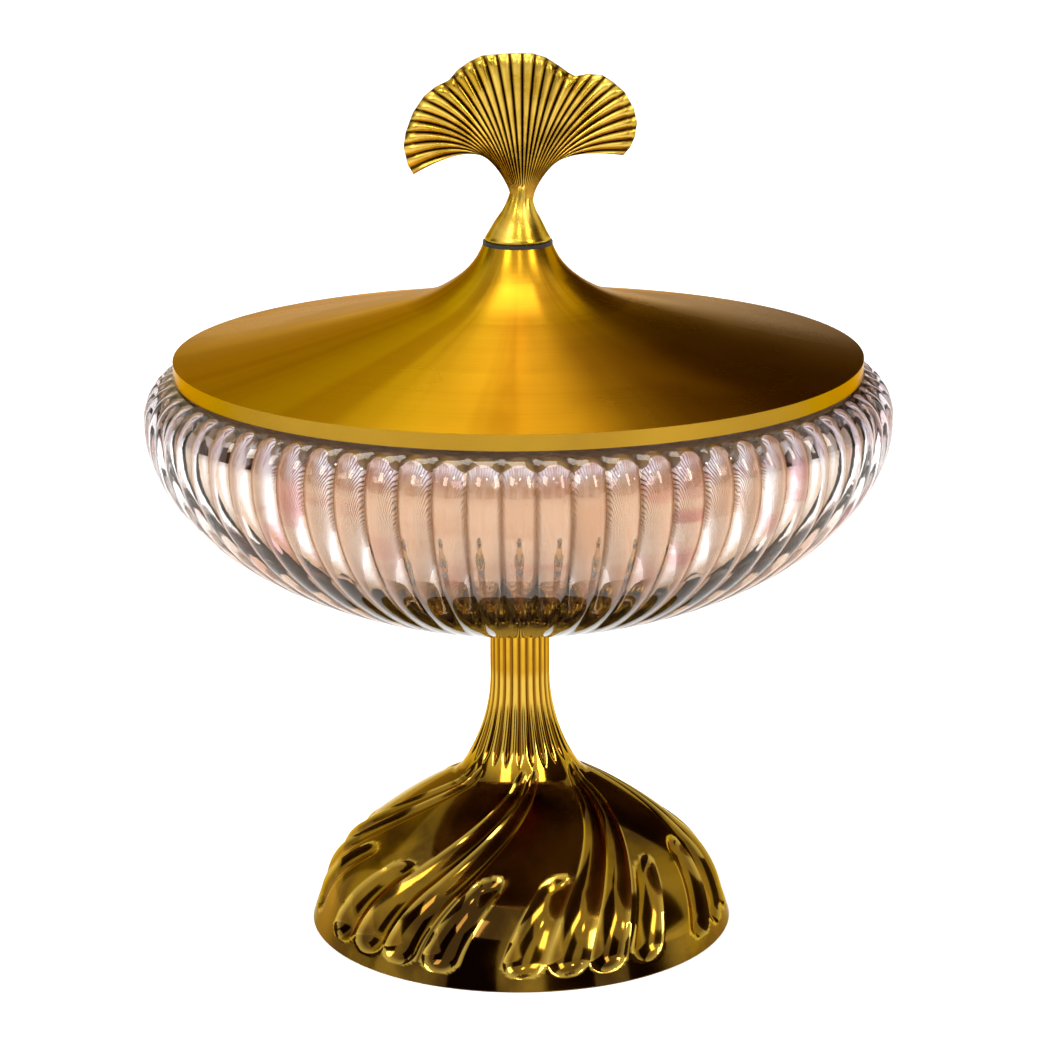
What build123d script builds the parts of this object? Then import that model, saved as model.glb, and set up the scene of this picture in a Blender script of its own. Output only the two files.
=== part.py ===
from build123d import *
import math
import os

# Footed candy jar: ribbed glass bowl bolted to a cast pedestal, spun lid with a ginkgo-leaf knob.
# Sizes in millimetres. The jar stands on z = 0 and its axis is the z axis. The leaf faces -Y.

# Pedestal
foot_radius = 64.2
foot_lip_height = 8.0
flare_height = 78.0
stem_radius = 9.05
stem_top = 96.0
casting_wall = 4.2
foot_rim_width = 7.0
boss_radius = 9.0
boss_bottom = 30.0

# Flutes of the stem and swirling scoops of the foot
stem_flute_count = 24
stem_flute_radius = 0.95
stem_flute_depth = 0.4
scoop_groups = 6
scoop_pitch = 11.2
scoop_cover = 0.95
scoop_depth_share = 0.16
swirl_turn = 51.0
swirl_power = 1.6

# Felt pad under the foot
pad_thickness = 2.0
pad_proud = 0.5
pad_setback = 2.2
pad_width = 2.8
pad_clearance = 0.2

# Glass bowl
rib_count = 72
rib_depth = 1.1
belly_radius = 111.0
belly_rise = 61.0
shoulder_rise = 1.8
shoulder_curve = 13.0
rib_end = 70.0
rim_rise = 1.2
rim_offset = 1.5
rim_width = 4.5
glass_wall = 3.4
glass_floor = 7.0
bowl_seat_radius = 13.5
bowl_fullness = 1.88

# Bolted joint between bowl and pedestal
gasket_thickness = 1.0
gasket_radius = 8.6
floor_gasket_radius = 11.0
bolt_hole_radius = 4.6
rod_radius = 3.0
rod_clearance = 0.3
rod_end_below_nut = 2.5
cap_flange_radius = 10.4
cap_flange_thickness = 1.6
cap_dome_radius = 6.2
cap_height = 8.0
foot_washer_radius = 8.0
foot_washer_thickness = 1.4
foot_nut_across_flats = 10.0
foot_nut_height = 5.0

# Lid
lid_overhang = 4.0
lid_sheet = 1.2
band_height = 4.5
band_clearance = 0.5
lid_rise = 32.75
collar_radius = 10.3
seal_thickness = 1.5
seal_width = 4.6
seal_clearance = 0.4
ring_sheet = 1.0
ring_depth = 9.0
ring_clearance = 1.4

# Knob and its screw
knob_washer_thickness = 1.0
knob_base_radius = 9.6
knob_neck_radius = 3.3
knob_neck_rise = 14.7
leaf_width = 68.0
leaf_height = 40.5
leaf_thickness = 4.4
pleat_count = 16
pleat_width = 2.4
screw_radius = 2.5
screw_clearance = 0.2
screw_engagement = 12.0
screw_head_radius = 4.4
screw_head_height = 3.0
lock_washer_radius = 5.0
lock_washer_thickness = 1.0

# Heights that follow from the sizes above
bowl_bottom = stem_top + gasket_thickness
belly_height = bowl_bottom + belly_rise
shoulder_height = belly_height + shoulder_rise
shoulder_centre = belly_radius - shoulder_curve
rim_outer_radius = shoulder_centre + rim_offset
mouth_radius = rim_outer_radius - rim_width
lid_radius = shoulder_centre + lid_overhang
floor_height = bowl_bottom + glass_floor
rib_end_angle = math.radians(rib_end)
rib_end_height = shoulder_height + shoulder_curve * math.sin(rib_end_angle)
rim_height = rib_end_height + rim_rise
band_bottom = rib_end_height + band_clearance
lid_edge_height = band_bottom + band_height
lid_top = lid_edge_height + lid_rise
seal_top = rim_height + seal_thickness
knob_bottom = lid_top + knob_washer_thickness
neck_height = knob_bottom + knob_neck_rise
foot_inner_radius = foot_radius - foot_rim_width
pad_outer_radius = foot_radius - pad_setback
pad_inner_radius = pad_outer_radius - pad_width


def bowl_radius(height, belly, bottom):
    """Radius of the full lower curve of the bowl at a height."""
    share = (belly_height - height) / (belly_height - bottom)
    return belly * math.sqrt(max(0.0, 1 - share ** bowl_fullness))


def lower_heights(bottom, first, count):
    """Heights that crowd towards the flat bottom, where the curve turns fastest."""
    steps = [first + (90 - first) * i / (count - 1) for i in range(count)]
    return [belly_height - (belly_height - bottom) * math.cos(math.radians(s)) for s in steps]


def ribbed_section(radius, height):
    """One level of the bowl: a closed zigzag of crests and grooves."""
    groove = radius - rib_depth * radius / belly_radius
    points = []
    for i in range(2 * rib_count):
        angle = math.pi * i / rib_count
        reach = groove if i % 2 else radius
        points.append((reach * math.cos(angle), reach * math.sin(angle)))
    with BuildSketch(Plane.XY.offset(height)) as level:
        with BuildLine():
            Polyline(*points, close=True)
        make_face()
    return level.sketch


def foot_point(across, up):
    """A point of the foot's outline, as shares of its reach from the stem and of the flare's height."""
    return (stem_radius + across * (foot_radius - stem_radius), up * flare_height)


# Outline of the pedestal below the plain stem: concave flare, low shoulder, dome and lip.
flare_foot = foot_point(0.168, 0.615)
dome_start = foot_point(0.208, 0.588)
dome_bend = foot_point(0.743, 0.333)
dome_end = (foot_radius - 2.4, foot_lip_height)
with BuildLine(Plane.XZ) as foot_line:
    flare = ThreePointArc((stem_radius, flare_height), foot_point(0.043, 0.799), flare_foot)
    Line(flare_foot, dome_start)
    ThreePointArc(dome_start, foot_point(0.484, 0.473), dome_bend)
    ThreePointArc(dome_bend, foot_point(0.88, 0.231), dome_end)
    Line(dome_end, (foot_radius, pad_proud))
foot_wire = foot_line.wires()[0]


def swirl_point(share, angle):
    """A point of a scoop's path on the foot, at a share of the outline's length."""
    turn = max(0.0, 0.98 - share) / 0.7
    side = math.radians(angle + swirl_turn * turn ** swirl_power)
    place = foot_wire @ share
    return Vector(place.X * math.sin(side), -place.X * math.cos(side), place.Z), place, side


def scoop_cutter(angle, shares):
    """A tube that widens down the dome and cuts one scoop; both its ends run out of the surface."""
    rings = []
    for i, share in enumerate(shares):
        point, place, side = swirl_point(share, angle)
        ahead = swirl_point(min(1.0, share + 0.01), angle)[0] - swirl_point(share - 0.01, angle)[0]
        slope = foot_wire % share
        out = Vector(-slope.Z * math.sin(side), slope.Z * math.cos(side), slope.X)
        width = 2 * place.X * math.sin(math.radians(scoop_pitch / 2)) * scoop_cover
        depth = width * scoop_depth_share
        if i in (0, len(shares) - 1):
            depth = -0.15 * width
        radius = width * (0.25 + scoop_depth_share ** 2) / (2 * scoop_depth_share)
        with BuildSketch(Plane(point + out * (radius - depth), z_dir=ahead)) as ring:
            Circle(radius)
        rings.append(ring.sketch)
    with BuildPart() as cutter:
        loft(rings, ruled=True)
    return cutter.part


# Two long scoops in each group run down from the flare, between two short ones on the dome.
long_shares = (0.25, 0.33, 0.45, 0.58, 0.72, 0.87, 0.985)
short_shares = (0.66, 0.74, 0.87, 0.985)
scoops = [scoop_cutter(0.0, short_shares), scoop_cutter(scoop_pitch, long_shares),
          scoop_cutter(2 * scoop_pitch, long_shares), scoop_cutter(3.2 * scoop_pitch, short_shares)]

# One flute of the stem: a round cutter that runs down the stem's side and fades out on the flare.
with BuildPart() as stem_flute:
    flute_centre = stem_radius + stem_flute_radius - stem_flute_depth
    with BuildSketch(Plane((flute_centre, 0, stem_top + 1), x_dir=(0, 1, 0), z_dir=(0, 0, -1))):
        Circle(stem_flute_radius)
    for share in (0.0, 0.25, 0.5, 0.75, 0.95):
        way = flare % share
        depth = stem_flute_depth if share < 0.9 else -0.1
        place = flare @ share + Vector(-way.Z, 0, way.X) * (stem_flute_radius - depth)
        with BuildSketch(Plane(place, x_dir=(0, 1, 0), z_dir=way)):
            Circle(stem_flute_radius)
    loft(ruled=True)

# Pedestal: stem, trumpet flare and domed foot cast in one piece, hollow underneath.
cavity_top = dome_start[1] - 0.9 * casting_wall
with BuildPart() as pedestal:
    with BuildSketch(Plane.XZ):
        with BuildLine():
            Line((0, pad_proud), (0, stem_top))
            Line((0, stem_top), (stem_radius, stem_top))
            Line((stem_radius, stem_top), (stem_radius, flare_height))
            ThreePointArc((stem_radius, flare_height), foot_point(0.043, 0.799), flare_foot)
            Line(flare_foot, dome_start)
            ThreePointArc(dome_start, foot_point(0.484, 0.473), dome_bend)
            ThreePointArc(dome_bend, foot_point(0.88, 0.231), dome_end)
            Line(dome_end, (foot_radius, pad_proud))
            Line((foot_radius, pad_proud), (0, pad_proud))
        make_face()
    revolve(axis=Axis.Z)
    with BuildSketch(Plane.XZ):
        with BuildLine():
            Line((0, pad_proud), (foot_inner_radius, pad_proud))
            Line((foot_inner_radius, pad_proud), (foot_inner_radius, foot_lip_height))
            Line((foot_inner_radius, foot_lip_height),
                 (dome_bend[0] - 0.6 * casting_wall, dome_bend[1] - 0.8 * casting_wall))
            Line((dome_bend[0] - 0.6 * casting_wall, dome_bend[1] - 0.8 * casting_wall),
                 (dome_start[0] - 0.4 * casting_wall, cavity_top))
            Line((dome_start[0] - 0.4 * casting_wall, cavity_top), (boss_radius, cavity_top))
            Line((boss_radius, cavity_top), (boss_radius, boss_bottom))
            Line((boss_radius, boss_bottom), (0, boss_bottom))
            Line((0, boss_bottom), (0, pad_proud))
        make_face()
    revolve(axis=Axis.Z, mode=Mode.SUBTRACT)
    with BuildSketch(Plane.XY.offset(pad_proud)):
        Circle(pad_outer_radius + pad_clearance)
        Circle(pad_inner_radius - pad_clearance, mode=Mode.SUBTRACT)
    extrude(amount=pad_thickness - pad_proud, mode=Mode.SUBTRACT)
    with BuildSketch(Plane.XY.offset(boss_bottom)):
        Circle(rod_radius + rod_clearance)
    extrude(amount=stem_top - boss_bottom, mode=Mode.SUBTRACT)
    with PolarLocations(0, scoop_groups):
        for scoop in scoops:
            add(scoop, mode=Mode.SUBTRACT)
    with PolarLocations(0, stem_flute_count):
        add(stem_flute.part, mode=Mode.SUBTRACT)
pedestal.part.label = "pedestal"

with BuildPart() as foot_pad:
    with BuildSketch(Plane.XY):
        Circle(pad_outer_radius)
        Circle(pad_inner_radius, mode=Mode.SUBTRACT)
    extrude(amount=pad_thickness)
foot_pad.part.label = "foot_pad"

# Glass bowl: straight ribs run from the seat over the belly to the shoulder; the inside is smooth.
levels = [ribbed_section(bowl_seat_radius, bowl_bottom)]
for height in lower_heights(bowl_bottom, 17, 8):
    levels.append(ribbed_section(bowl_radius(height, belly_radius, bowl_bottom), height))
for angle in (0, rib_end_angle / 3, rib_end_angle * 2 / 3, rib_end_angle):
    levels.append(ribbed_section(shoulder_centre + shoulder_curve * math.cos(angle),
                                 shoulder_height + shoulder_curve * math.sin(angle)))
with BuildPart() as glass_bowl:
    loft(levels)
    with BuildSketch(Plane.XY.offset(rib_end_height)):
        Circle(rim_outer_radius)
    extrude(amount=rim_height - rib_end_height)
    inner_belly = belly_radius - rib_depth - glass_wall
    inner_curve = shoulder_curve - rib_depth - glass_wall
    inner = [(bowl_seat_radius, floor_height)]
    for height in lower_heights(floor_height, 27, 5):
        inner.append((bowl_radius(height, inner_belly, floor_height), height))
    inner.insert(1, (0.5 * (inner[0][0] + inner[1][0]), floor_height + 0.27 * (inner[1][1] - floor_height)))
    with BuildSketch(Plane.XZ):
        with BuildLine():
            Line((0, floor_height), inner[0])
            for i in range(0, len(inner) - 1, 2):
                ThreePointArc(inner[i], inner[i + 1], inner[i + 2])
            Line(inner[-1], (inner_belly, shoulder_height))
            RadiusArc((inner_belly, shoulder_height),
                      (shoulder_centre, shoulder_height + inner_curve), -inner_curve)
            Line((shoulder_centre, shoulder_height + inner_curve),
                 (mouth_radius, shoulder_height + inner_curve))
            Line((mouth_radius, shoulder_height + inner_curve), (mouth_radius, rim_height))
            Line((mouth_radius, rim_height), (0, rim_height))
            Line((0, rim_height), (0, floor_height))
        make_face()
    revolve(axis=Axis.Z, mode=Mode.SUBTRACT)
    with BuildSketch(Plane.XY.offset(bowl_bottom)):
        Circle(bolt_hole_radius)
    extrude(amount=glass_floor, mode=Mode.SUBTRACT)
glass_bowl.part.label = "glass_bowl"


def flat_ring(outer, inner, bottom, thickness):
    """A flat round washer, gasket or disc with a central hole."""
    with BuildPart() as ring:
        with BuildSketch(Plane.XY.offset(bottom)):
            Circle(outer)
            Circle(inner, mode=Mode.SUBTRACT)
        extrude(amount=thickness)
    return ring.part


stem_gasket = flat_ring(gasket_radius, rod_radius + rod_clearance, stem_top, gasket_thickness)
stem_gasket.label = "stem_gasket"
floor_gasket = flat_ring(floor_gasket_radius, rod_radius + rod_clearance, floor_height, gasket_thickness)
floor_gasket.label = "floor_gasket"

# Flanged dome nut inside the bowl, rod through the stem, washer and nut under the foot.
cap_bottom = floor_height + gasket_thickness
rod_top = cap_bottom + cap_flange_thickness + cap_height - 3.0
with BuildPart() as bowl_cap_nut:
    with BuildSketch(Plane.XY.offset(cap_bottom)):
        Circle(cap_flange_radius)
    extrude(amount=cap_flange_thickness)
    with BuildSketch(Plane.XY.offset(cap_bottom + cap_flange_thickness)):
        RegularPolygon(cap_dome_radius, 6)
    extrude(amount=cap_height)
    fillet(bowl_cap_nut.faces().sort_by(Axis.Z)[-1].edges(), 1.6)
    with BuildSketch(Plane.XY.offset(cap_bottom)):
        Circle(rod_radius + rod_clearance)
    extrude(amount=rod_top - cap_bottom, mode=Mode.SUBTRACT)
bowl_cap_nut.part.label = "bowl_cap_nut"

nut_top = boss_bottom - foot_washer_thickness
rod_bottom = nut_top - foot_nut_height - rod_end_below_nut
with BuildPart() as tie_rod:
    with BuildSketch(Plane.XY.offset(rod_bottom)):
        Circle(rod_radius)
    extrude(amount=rod_top - rod_bottom)
    chamfer(tie_rod.faces().sort_by(Axis.Z)[0].edges(), 0.5)
tie_rod.part.label = "tie_rod"

foot_washer = flat_ring(foot_washer_radius, rod_radius + rod_clearance, nut_top, foot_washer_thickness)
foot_washer.label = "foot_washer"

with BuildPart() as foot_nut:
    with BuildSketch(Plane.XY.offset(nut_top - foot_nut_height)):
        RegularPolygon(foot_nut_across_flats / 2, 6, major_radius=False)
        Circle(rod_radius + rod_clearance / 2, mode=Mode.SUBTRACT)
    extrude(amount=foot_nut_height)
foot_nut.part.label = "foot_nut"


def lid_point(across, up):
    """A point of the lid's curve, as shares of its reach from the collar and of its rise."""
    return (collar_radius + across * (lid_radius - collar_radius), lid_edge_height + up * lid_rise)


# Lid: one spun sheet, from the turned-down band over a shallow cone to the collar under the knob.
cone_top = lid_point(0.248, 0.472)
throat = lid_point(0.068, 0.731)
with BuildPart() as lid_shell:
    with BuildSketch(Plane.XZ):
        with BuildLine():
            Line((0, band_bottom), (lid_radius, band_bottom))
            Line((lid_radius, band_bottom), (lid_radius, lid_edge_height))
            cone = ThreePointArc((lid_radius, lid_edge_height), lid_point(0.624, 0.215), cone_top)
            bend = TangentArc(cone_top, throat, tangent=cone % 1)
            TangentArc(throat, (collar_radius, lid_top), tangent=bend % 1)
            Line((collar_radius, lid_top), (0, lid_top))
            Line((0, lid_top), (0, band_bottom))
        make_face()
    revolve(axis=Axis.Z)
    offset(amount=-lid_sheet, openings=lid_shell.faces().sort_by(Axis.Z)[0])
    with BuildSketch(Plane.XY.offset(lid_top)):
        Circle(screw_radius + screw_clearance)
    extrude(amount=-2 * lid_sheet, mode=Mode.SUBTRACT)
lid_shell.part.label = "lid_shell"

# Locating ring soldered under the lid; it drops inside the mouth and carries the seal.
ring_outer = mouth_radius - ring_clearance
seal_inner = ring_outer + seal_clearance
seal_outer = seal_inner + seal_width
flange_radius = lid_radius - lid_sheet - 0.3
with BuildPart() as locating_ring:
    with BuildSketch(Plane.XY.offset(seal_top - ring_depth)):
        Circle(ring_outer)
        Circle(ring_outer - ring_sheet, mode=Mode.SUBTRACT)
    extrude(amount=ring_depth)
    with BuildSketch(Plane.XY.offset(seal_top)):
        Circle(flange_radius)
        Circle(ring_outer - ring_sheet, mode=Mode.SUBTRACT)
    extrude(amount=lid_edge_height - lid_sheet - 0.1 - seal_top)
locating_ring.part.label = "locating_ring"

lid_seal = flat_ring(seal_outer, seal_inner, rim_height, seal_thickness)
lid_seal.label = "lid_seal"

knob_washer = flat_ring(collar_radius, screw_radius + screw_clearance, lid_top, knob_washer_thickness)
knob_washer.label = "knob_washer"

lock_washer_bottom = lid_top - lid_sheet - lock_washer_thickness
lock_washer = flat_ring(lock_washer_radius, screw_radius + screw_clearance, lock_washer_bottom,
                        lock_washer_thickness)
lock_washer.label = "lock_washer"

screw_top = knob_bottom + screw_engagement
with BuildPart() as knob_screw:
    with BuildSketch(Plane.XY.offset(lock_washer_bottom)):
        Circle(screw_radius)
    extrude(amount=screw_top - lock_washer_bottom)
    with BuildSketch(Plane.XY.offset(lock_washer_bottom - screw_head_height)):
        Circle(screw_head_radius)
    extrude(amount=screw_head_height)
    fillet(knob_screw.faces().sort_by(Axis.Z)[0].edges(), 1.2)
knob_screw.part.label = "knob_screw"


def leaf_point(across, up):
    """A point of the leaf, as shares of its width from the neck and of its height above the neck."""
    return (across * leaf_width, neck_height + up * leaf_height)


# Knob: turned base and neck, and a three-lobed ginkgo leaf standing on it.
left_notch = leaf_point(-0.291, 0.80)
right_notch = leaf_point(0.249, 0.823)
left_tip = leaf_point(-0.446, 0.122)
right_tip = leaf_point(0.454, 0.254)
neck_left = leaf_point(-0.034, 0.0)
neck_right = leaf_point(0.058, 0.0)
with BuildPart() as ginkgo_knob:
    with BuildSketch(Plane.XZ):
        with BuildLine():
            Spline(left_notch, leaf_point(-0.2, 0.943), leaf_point(-0.087, 0.993),
                   leaf_point(0.066, 1.0), leaf_point(0.181, 0.9), right_notch)
            Spline(right_notch, leaf_point(0.368, 0.835), leaf_point(0.46, 0.716),
                   leaf_point(0.513, 0.494), leaf_point(0.484, 0.312), right_tip)
            Spline(right_tip, leaf_point(0.33, 0.239), leaf_point(0.219, 0.232),
                   leaf_point(0.141, 0.202), leaf_point(0.094, 0.145), neck_right)
            Line(neck_right, neck_left)
            Spline(neck_left, leaf_point(-0.034, 0.145), leaf_point(-0.069, 0.21),
                   leaf_point(-0.188, 0.269), leaf_point(-0.304, 0.21), left_tip)
            Spline(left_tip, leaf_point(-0.471, 0.197), leaf_point(-0.487, 0.327),
                   leaf_point(-0.446, 0.571), leaf_point(-0.399, 0.686), left_notch)
        make_face()
    extrude(amount=leaf_thickness / 2, both=True)
    with BuildSketch(Plane.XZ):
        with BuildLine():
            Line((0, knob_bottom), (knob_base_radius - 0.3, knob_bottom))
            Line((knob_base_radius - 0.3, knob_bottom), (knob_base_radius, knob_bottom + 1.0))
            Spline((knob_base_radius, knob_bottom + 1.0),
                   (0.8 * knob_base_radius, knob_bottom + 0.3 * knob_neck_rise),
                   (0.53 * knob_base_radius, knob_bottom + 0.6 * knob_neck_rise),
                   (knob_neck_radius, neck_height + 1.0))
            Line((knob_neck_radius, neck_height + 1.0), (0, neck_height + 1.0))
            Line((0, neck_height + 1.0), (0, knob_bottom))
        make_face()
    revolve(axis=Axis.Z)
    with BuildSketch(Plane.XY.offset(neck_height)):
        Circle(knob_neck_radius)
    with BuildSketch(Plane.XY.offset(neck_height + 0.24 * leaf_height)):
        with Locations((0.03 * leaf_width, 0)):
            Ellipse(0.12 * leaf_width, leaf_thickness / 2 + 0.3)
    loft()
    with BuildSketch(Plane.XY.offset(knob_bottom)):
        Circle(screw_radius + screw_clearance)
    extrude(amount=screw_engagement + 1.0, mode=Mode.SUBTRACT)
    pleat_root = leaf_point(0.012, 0.1)
    for i in range(pleat_count):
        fan = math.radians(-84 + 158 * i / (pleat_count - 1))
        way = Vector(math.sin(fan), 0, math.cos(fan))
        for face in (-1, 1):
            root = Vector(pleat_root[0], face * leaf_thickness / 2, pleat_root[1]) + way * 0.13 * leaf_height
            start = Plane(root, x_dir=(0, 1, 0), z_dir=way)
            with BuildSketch(start):
                RegularPolygon(0.1, 4)
            with BuildSketch(start.offset(leaf_height)):
                RegularPolygon(pleat_width / 2, 4)
            loft(ruled=True, mode=Mode.SUBTRACT)
ginkgo_knob.part.label = "ginkgo_knob"

os.makedirs("parts", exist_ok=True)
parts = [pedestal.part, foot_pad.part, glass_bowl.part, stem_gasket, floor_gasket,
         bowl_cap_nut.part, tie_rod.part, foot_washer, foot_nut.part, lid_shell.part,
         locating_ring.part, lid_seal, knob_washer, lock_washer, knob_screw.part, ginkgo_knob.part]
for piece in parts:
    export_step(piece, "parts/" + piece.label + ".step")
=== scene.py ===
import bpy
import math
from mathutils import Matrix, Vector


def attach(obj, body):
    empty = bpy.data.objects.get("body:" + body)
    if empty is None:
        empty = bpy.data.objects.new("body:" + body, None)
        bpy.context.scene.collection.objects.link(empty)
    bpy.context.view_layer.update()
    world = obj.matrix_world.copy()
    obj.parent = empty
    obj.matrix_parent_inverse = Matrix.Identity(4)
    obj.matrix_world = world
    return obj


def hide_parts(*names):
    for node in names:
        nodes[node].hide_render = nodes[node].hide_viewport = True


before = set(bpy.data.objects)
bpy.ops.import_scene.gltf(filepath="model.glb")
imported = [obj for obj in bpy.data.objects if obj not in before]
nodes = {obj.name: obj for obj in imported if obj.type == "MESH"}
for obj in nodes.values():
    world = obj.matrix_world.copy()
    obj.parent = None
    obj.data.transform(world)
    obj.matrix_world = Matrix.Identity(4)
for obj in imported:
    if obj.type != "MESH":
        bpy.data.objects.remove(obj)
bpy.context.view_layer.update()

# Footed candy jar. Shapes are given in millimetres, as in the part's source; the scene is in metres.
MM = 0.001

# Pedestal
STEM_RADIUS = 9.05
STEM_TOP = 96.0
FLARE_HEIGHT = 78.0
FOOT_RADIUS = 64.2
FOOT_LIP_HEIGHT = 8.0
FOOT_BOTTOM = 0.5
FOOT_INNER_RADIUS = 57.2
BOSS_RADIUS = 9.0
BOSS_BOTTOM = 30.0
CAVITY_TOP = 42.1
ROD_HOLE_RADIUS = 3.6
PEDESTAL_COLUMNS = 360

# Swirl of the foot, in degrees; a share is a part of the way down the pedestal's outline
SWIRL_TURN = 51.0
SWIRL_POWER = 1.6
SWIRL_START, SWIRL_END, SWIRL_REACH = 0.28, 0.98, 0.7

# One group of scoops: middle and half width in degrees, and the share where each scoop starts
SCOOP_GROUP = 60.0
SCOOPS = ((0.0, 6.0, 0.655), (12.0, 6.0, 0.275), (23.5, 5.5, 0.275), (36.5, 5.5, 0.655))
SCOOP_DEPTH_SHARE = 0.17
SCOOP_HEAD = 0.045
SCOOP_END = 0.965
LIP_START = 0.975
SCOOP_TAIL = 5.6

# Flutes of the stem, which fade out on the flare
FLUTE_COUNT = 24
FLUTE_DEPTH = 0.55
FLUTE_END, FLUTE_FADE = 0.225, 0.045
FLUTE_WIDEN = 1.35

# Glass bowl
RIB_COUNT = 72
RIB_COLUMNS = 8
RIB_DEPTH = 1.8
BOWL_BOTTOM = 97.0
BOWL_FLOOR = 104.0
BOWL_WALL = 4.5
BOWL_SEAT_RADIUS = 9.0
BOWL_FLOOR_RADIUS = 13.5
BOWL_FULLNESS = 1.88
BELLY_RADIUS = 111.0
BELLY_HEIGHT = 158.0
SHOULDER_CENTRE = (98.0, 159.8)
SHOULDER_CURVE = 13.0
RIB_END = 70.0
ARCH_START, ARCH_LENGTH = 6.6, 5.0
RIM_TOP = 173.22
RIM_OUTER_RADIUS = 99.5
MOUTH_RADIUS = 95.0
BOLT_HOLE_RADIUS = 4.6

# Where the lid's paler band begins and ends, in metres: its distance from the axis and its top
BAND_SIDE = (0.1012, 0.1017)
BAND_TOP = (0.1768, 0.1772)

# Knob: round base, fluted neck that drifts to the right as it rises, and the leaf on it
NECK_FLUTES = 12
NECK_FLUTE_DEPTH = 0.16
NECK_FLUTE_START = 218.0
NECK_DRIFT, NECK_DRIFT_START, NECK_DRIFT_LENGTH = 1.5, 212.0, 16.0
NECK_COLUMNS = 72
NECK_SIDE = ((0.5, 210.77), (9.3, 210.77), (9.6, 211.1), (9.6, 211.77), (9.1, 212.6), (8.4, 213.8),
             (7.68, 215.18), (6.9, 216.6), (6.0, 218.1), (5.09, 219.6), (4.3, 221.4), (3.8, 223.1),
             (3.45, 224.8), (3.3, 226.4), (2.6, 228.2), (0.3, 229.4))
PLEAT_COUNT = 30
PLEAT_COLUMNS = 6
PLEAT_HEIGHT = 0.85
LEAF_ROWS = 30
LEAF_ROOT_HEIGHT = 223.0
LEAF_ROOT_LEFT, LEAF_ROOT_WIDTH = -1.9, 6.6
LEAF_HALF_THICKNESS = 1.35
LEAF_ROOT_SWELL = 3.3
LEAF_EDGE = ((-30.3, 230.5), (-32.0, 233.5), (-33.1, 238.7), (-32.5, 242.7), (-30.3, 248.5), (-27.1, 253.1),
             (-23.8, 255.7), (-19.8, 257.7), (-17.1, 260.9), (-13.6, 263.4), (-9.9, 265.1), (-5.9, 265.4),
             (-0.7, 265.7), (4.5, 265.6), (8.5, 264.3), (12.3, 261.7), (14.9, 259.7), (16.9, 258.6),
             (20.9, 259.4), (25.0, 259.1), (28.1, 257.1), (31.3, 254.3), (34.0, 249.4), (34.9, 245.4),
             (34.3, 241.3), (32.9, 238.1), (30.9, 235.8))

# Outer pleats leave the neck steeply and then droop: where they bend, and how far the bend moves out and up
BEND_SHARE = 0.45
DROOP_POWER = 1.4
DROOP_LEFT, DROOP_RIGHT = (9.5, 19.0), (-10.5, 10.5)

# Soft folds of the leaf: place and width as shares of its edge, and how far the fold leans back
LEAF_FOLDS = ((0.655, 0.055, 1.9), (0.27, 0.05, 1.5), (0.80, 0.07, -1.1), (0.45, 0.1, -0.7))


# Camera, floor and light

def set_camera():
    """The photograph's viewpoint: one metre away, looking down a little more than 15 degrees."""
    lens = bpy.data.cameras.new("photo_view")
    lens.lens = 118.62
    lens.sensor_width = 36.0
    lens.shift_x = 0.00458
    lens.clip_end = 50.0
    camera = bpy.data.objects.new("photo_view", lens)
    place = Matrix.Translation((0.0, -1.0, 0.3975))
    tilt = Matrix.Rotation(math.radians(74.726), 4, "X")
    roll = Matrix.Rotation(math.radians(-0.31), 4, "Z")
    camera.matrix_world = place @ tilt @ roll
    bpy.context.collection.objects.link(camera)
    bpy.context.scene.camera = camera


def pointed(place, aim, axis):
    """A placement whose own axis points from the place towards the aim."""
    way = Vector(aim) - Vector(place)
    return Matrix.Translation(place) @ way.to_track_quat(axis, "Y").to_matrix().to_4x4()


def flat_panel(name, centre, aim, width, height, material):
    """A thin rectangle whose face looks towards a point."""
    mesh = bpy.data.meshes.new(name)
    corners = [(-width / 2, -height / 2, 0), (width / 2, -height / 2, 0),
               (width / 2, height / 2, 0), (-width / 2, height / 2, 0)]
    mesh.from_pydata(corners, [], [(0, 1, 2, 3)])
    mesh.materials.append(material)
    panel = bpy.data.objects.new(name, mesh)
    panel.matrix_world = pointed(centre, aim, "Z")
    bpy.context.collection.objects.link(panel)
    return panel


def soft_lamp(name, place, aim, width, height, watts, colour=(1.0, 1.0, 1.0)):
    """A rectangular soft lamp that points at the jar."""
    lamp = bpy.data.lights.new(name, "AREA")
    lamp.shape = "RECTANGLE"
    lamp.size = width
    lamp.size_y = height
    lamp.energy = watts
    lamp.color = colour
    holder = bpy.data.objects.new(name, lamp)
    holder.matrix_world = pointed(place, aim, "-Z")
    bpy.context.collection.objects.link(holder)


# Small helpers for shader nodes

def join(tree, value, socket):
    """Wires an output into a socket, or sets the socket to a plain value."""
    if isinstance(value, bpy.types.NodeSocket):
        tree.links.new(value, socket)
    else:
        socket.default_value = value


def add_node(tree, kind, settings=None, **inputs):
    """Adds a node, sets its options, and wires or sets its inputs by name."""
    made = tree.nodes.new(kind)
    for name, value in (settings or {}).items():
        setattr(made, name, value)
    for name, value in inputs.items():
        join(tree, value, made.inputs[name.replace("_", " ")])
    return made


def reckon(tree, operation, *values, clamp=False):
    """One arithmetic step on values that change over the surface."""
    made = tree.nodes.new("ShaderNodeMath")
    made.operation = operation
    made.use_clamp = clamp
    for i, value in enumerate(values):
        join(tree, value, made.inputs[i])
    return made.outputs[0]


def times(tree, first, second):
    """The product of two values."""
    return reckon(tree, "MULTIPLY", first, second)


def plus(tree, first, second):
    """The sum of two values."""
    return reckon(tree, "ADD", first, second)


def opposite(tree, share):
    """What is left of 1 once a share is taken away."""
    return reckon(tree, "SUBTRACT", 1.0, share)


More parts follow.
